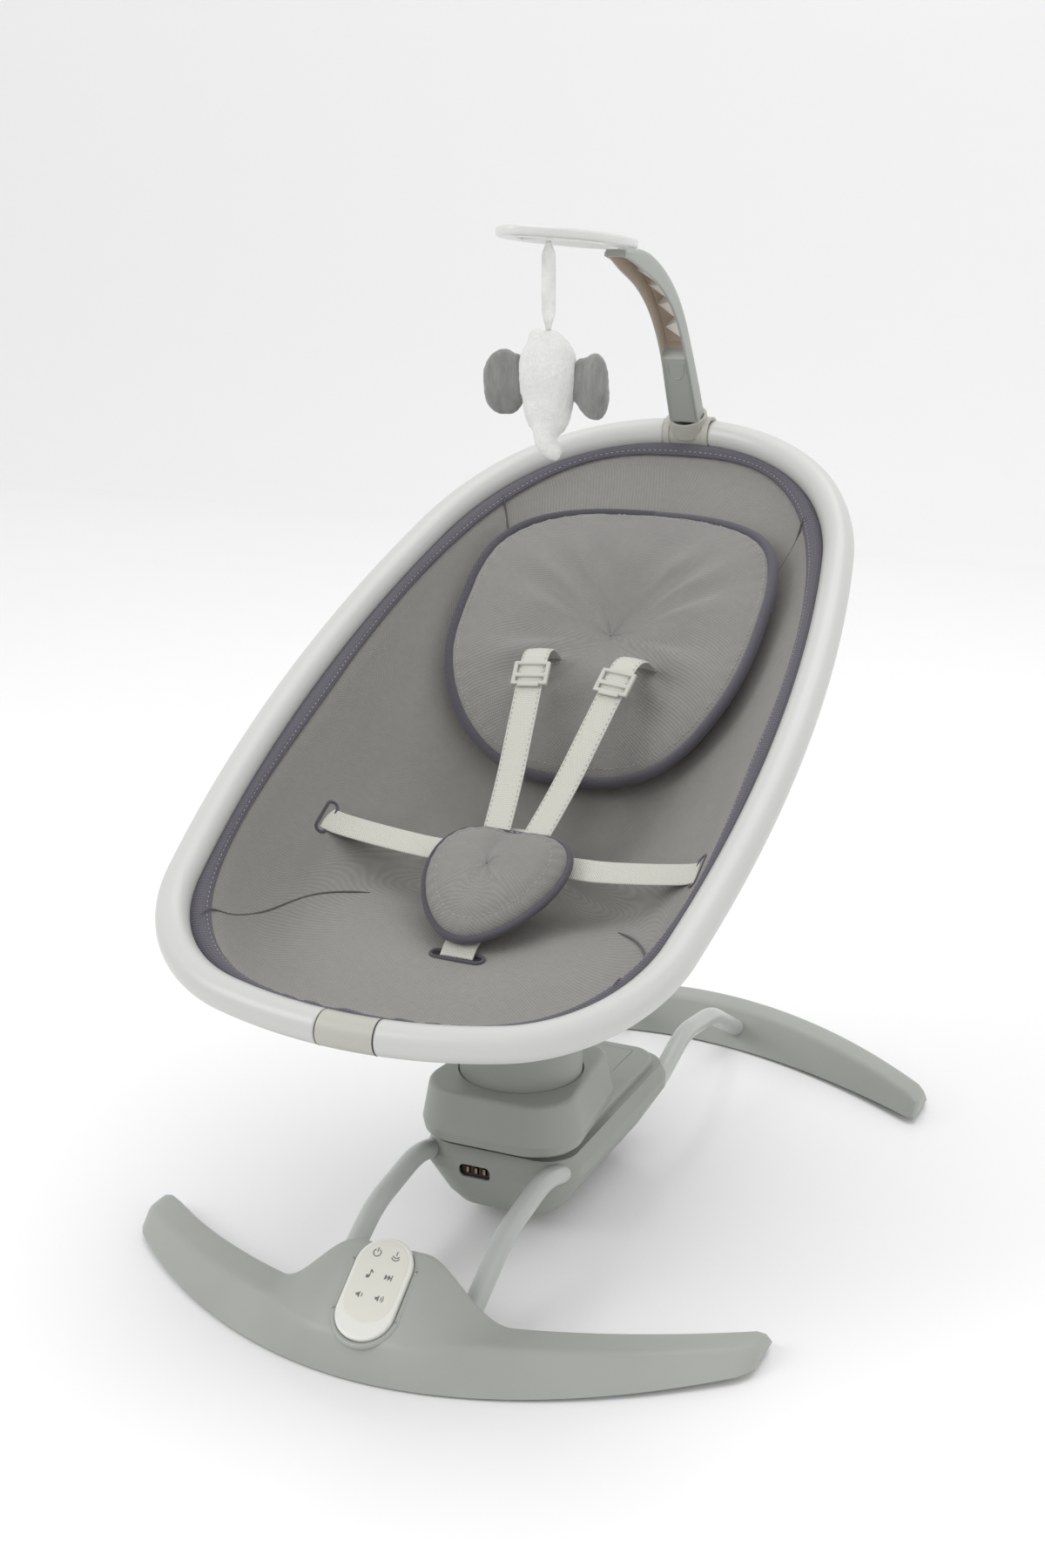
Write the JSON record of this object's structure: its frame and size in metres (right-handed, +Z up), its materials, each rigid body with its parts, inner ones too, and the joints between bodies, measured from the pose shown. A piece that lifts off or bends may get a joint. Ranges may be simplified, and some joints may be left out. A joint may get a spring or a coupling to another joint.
{
  "type": "baby swing",
  "caption": "Baby swing with an oval ringed bucket seat on a swaying drive housing, two bowed feet, a toy bar and a docked remote.",
  "frame": {"origin": "on the floor, at the middle of the footprint between the two feet", "axes": "+Z up, the seat's foot end faces -Y, +X to the left hand of someone sitting in it"},
  "size_m": [0.57, 0.813, 0.8658],
  "materials": {
    "ring_satin": "light satin",
    "base_plastic": "warm grey, fine texture",
    "trim_plastic": "warm beige grey",
    "leg_paint": "light grey satin",
    "seat_cloth": "grey bird's-eye weave",
    "pad_cloth": "grey weave",
    "webbing": "warm pale webbing",
    "buckle_plastic": "pale plastic",
    "remote_white": "white",
    "remote_overlay": "off-white",
    "tray_white": "white",
    "arm_plastic": "grey",
    "plush_white": "white plush",
    "plush_grey": "grey velour",
    "ribbon": "satin ribbon",
    "rubber_pad": "soft",
    "rubber_key": "keypad",
    "steel": "plain steel",
    "gear_plastic": "natural acetal",
    "board": "circuit board",
    "black_plastic": "black"
  },
  "bodies": {
    "base": {"front_foot": "base_plastic", "rear_foot": "base_plastic", "front_foot_base": "base_plastic", "rear_foot_base": "base_plastic", "foot_pads": "rubber_pad", "leg_tube_left": "leg_paint", "leg_tube_right": "leg_paint", "tube_clamps": "base_plastic", "housing_lower": "base_plastic", "housing_upper": "base_plastic", "service_panel": "base_plastic", "housing_screws": "steel", "port_insert": "black_plastic", "circuit_board": "board", "speaker": "black_plastic", "drive_motor": "steel", "motor_bracket": "steel", "lower_bearing": "steel", "upper_bearing": "steel"},
    "pinion_gear": {"pinion": "gear_plastic", "motor_shaft": "steel"},
    "swing": {"spindle": "steel", "sector_gear": "gear_plastic", "spindle_screws": "steel", "swing_head": "base_plastic", "neck_post": "base_plastic", "recline_pin": "steel"},
    "release_button": {"recline_button": "base_plastic"},
    "seat": {"seat_bracket": "base_plastic", "cradle_tube_front": "leg_paint", "cradle_tube_rear": "leg_paint", "ring_clamps": "base_plastic", "ring_tube_left": "ring_satin", "ring_tube_right": "ring_satin", "foot_sleeve": "trim_plastic", "head_collar": "trim_plastic", "seat_fabric": "seat_cloth", "head_pillow": "pad_cloth", "shoulder_strap_left": "webbing", "shoulder_strap_right": "webbing", "strap_adjusters": "buckle_plastic", "waist_straps": "webbing", "crotch_strap": "webbing", "buckle": "buckle_plastic", "crotch_pad": "pad_cloth"},
    "toy_arm": {"toy_bar": "arm_plastic", "toy_tray": "tray_white"},
    "toy": {"toy_ribbon": "ribbon", "toy_body": "plush_white", "toy_ears": "plush_grey"},
    "remote": {"remote_body": "remote_white", "remote_face": "remote_overlay", "remote_board": "board", "remote_battery": "steel"},
    "key_power_button": {"key_power": "rubber_key"},
    "key_timer_button": {"key_timer": "rubber_key"},
    "key_music_button": {"key_music": "rubber_key"},
    "key_next_button": {"key_next": "rubber_key"},
    "key_volume_down_button": {"key_volume_down": "rubber_key"},
    "key_volume_up_button": {"key_volume_up": "rubber_key"}
  },
  "joints": [
    {"name": "swing_turn", "type": "hinge", "parent": "base", "child": "swing", "pos_m": [0, -0.085, 0.09], "axis": [0, 0, 1], "range_deg": [-12, 12]},
    {"name": "pinion_spin", "type": "hinge", "parent": "base", "child": "pinion_gear", "pos_m": [0, -0.034, 0.045], "axis": [0, 0, 1], "range_deg": [-48, 48]},
    {"name": "seat_recline", "type": "hinge", "parent": "swing", "child": "seat", "pos_m": [0, -0.085, 0.222], "axis": [1, 0, 0], "range_deg": [-12, 0]},
    {"name": "recline_press", "type": "slide", "parent": "swing", "child": "release_button", "axis": [-1, 0, 0], "range_m": [0, 0.003], "stiffness_N_per_m": 400},
    {"name": "toy_bar_swivel", "type": "hinge", "parent": "seat", "child": "toy_arm", "pos_m": [0, 0.30801, 0.66655], "axis": [0, -0.4501, 0.893], "range_deg": [-45, 45]},
    {"name": "toy_swing", "type": "hinge", "parent": "toy_arm", "child": "toy", "pos_m": [0, -0.03, 0.8496], "axis": [1, 0, 0], "range_deg": [-30, 30]},
    {"name": "remote_lift", "type": "slide", "parent": "base", "child": "remote", "axis": [0, -0.5878, 0.809], "range_m": [0, 0.03]},
    {"name": "key_power_press", "type": "slide", "parent": "remote", "child": "key_power_button", "axis": [0, 0.5878, -0.809], "range_m": [0, 0.0006], "stiffness_N_per_m": 500},
    {"name": "key_timer_press", "type": "slide", "parent": "remote", "child": "key_timer_button", "axis": [0, 0.5878, -0.809], "range_m": [0, 0.0006], "stiffness_N_per_m": 500},
    {"name": "key_music_press", "type": "slide", "parent": "remote", "child": "key_music_button", "axis": [0, 0.5878, -0.809], "range_m": [0, 0.0006], "stiffness_N_per_m": 500},
    {"name": "key_next_press", "type": "slide", "parent": "remote", "child": "key_next_button", "axis": [0, 0.5878, -0.809], "range_m": [0, 0.0006], "stiffness_N_per_m": 500},
    {"name": "key_volume_down_press", "type": "slide", "parent": "remote", "child": "key_volume_down_button", "axis": [0, 0.5878, -0.809], "range_m": [0, 0.0006], "stiffness_N_per_m": 500},
    {"name": "key_volume_up_press", "type": "slide", "parent": "remote", "child": "key_volume_up_button", "axis": [0, 0.5878, -0.809], "range_m": [0, 0.0006], "stiffness_N_per_m": 500}
  ],
  "couplings": [
    {"joint": "pinion_spin", "follows": "swing_turn", "ratio": -3.8571}
  ]
}
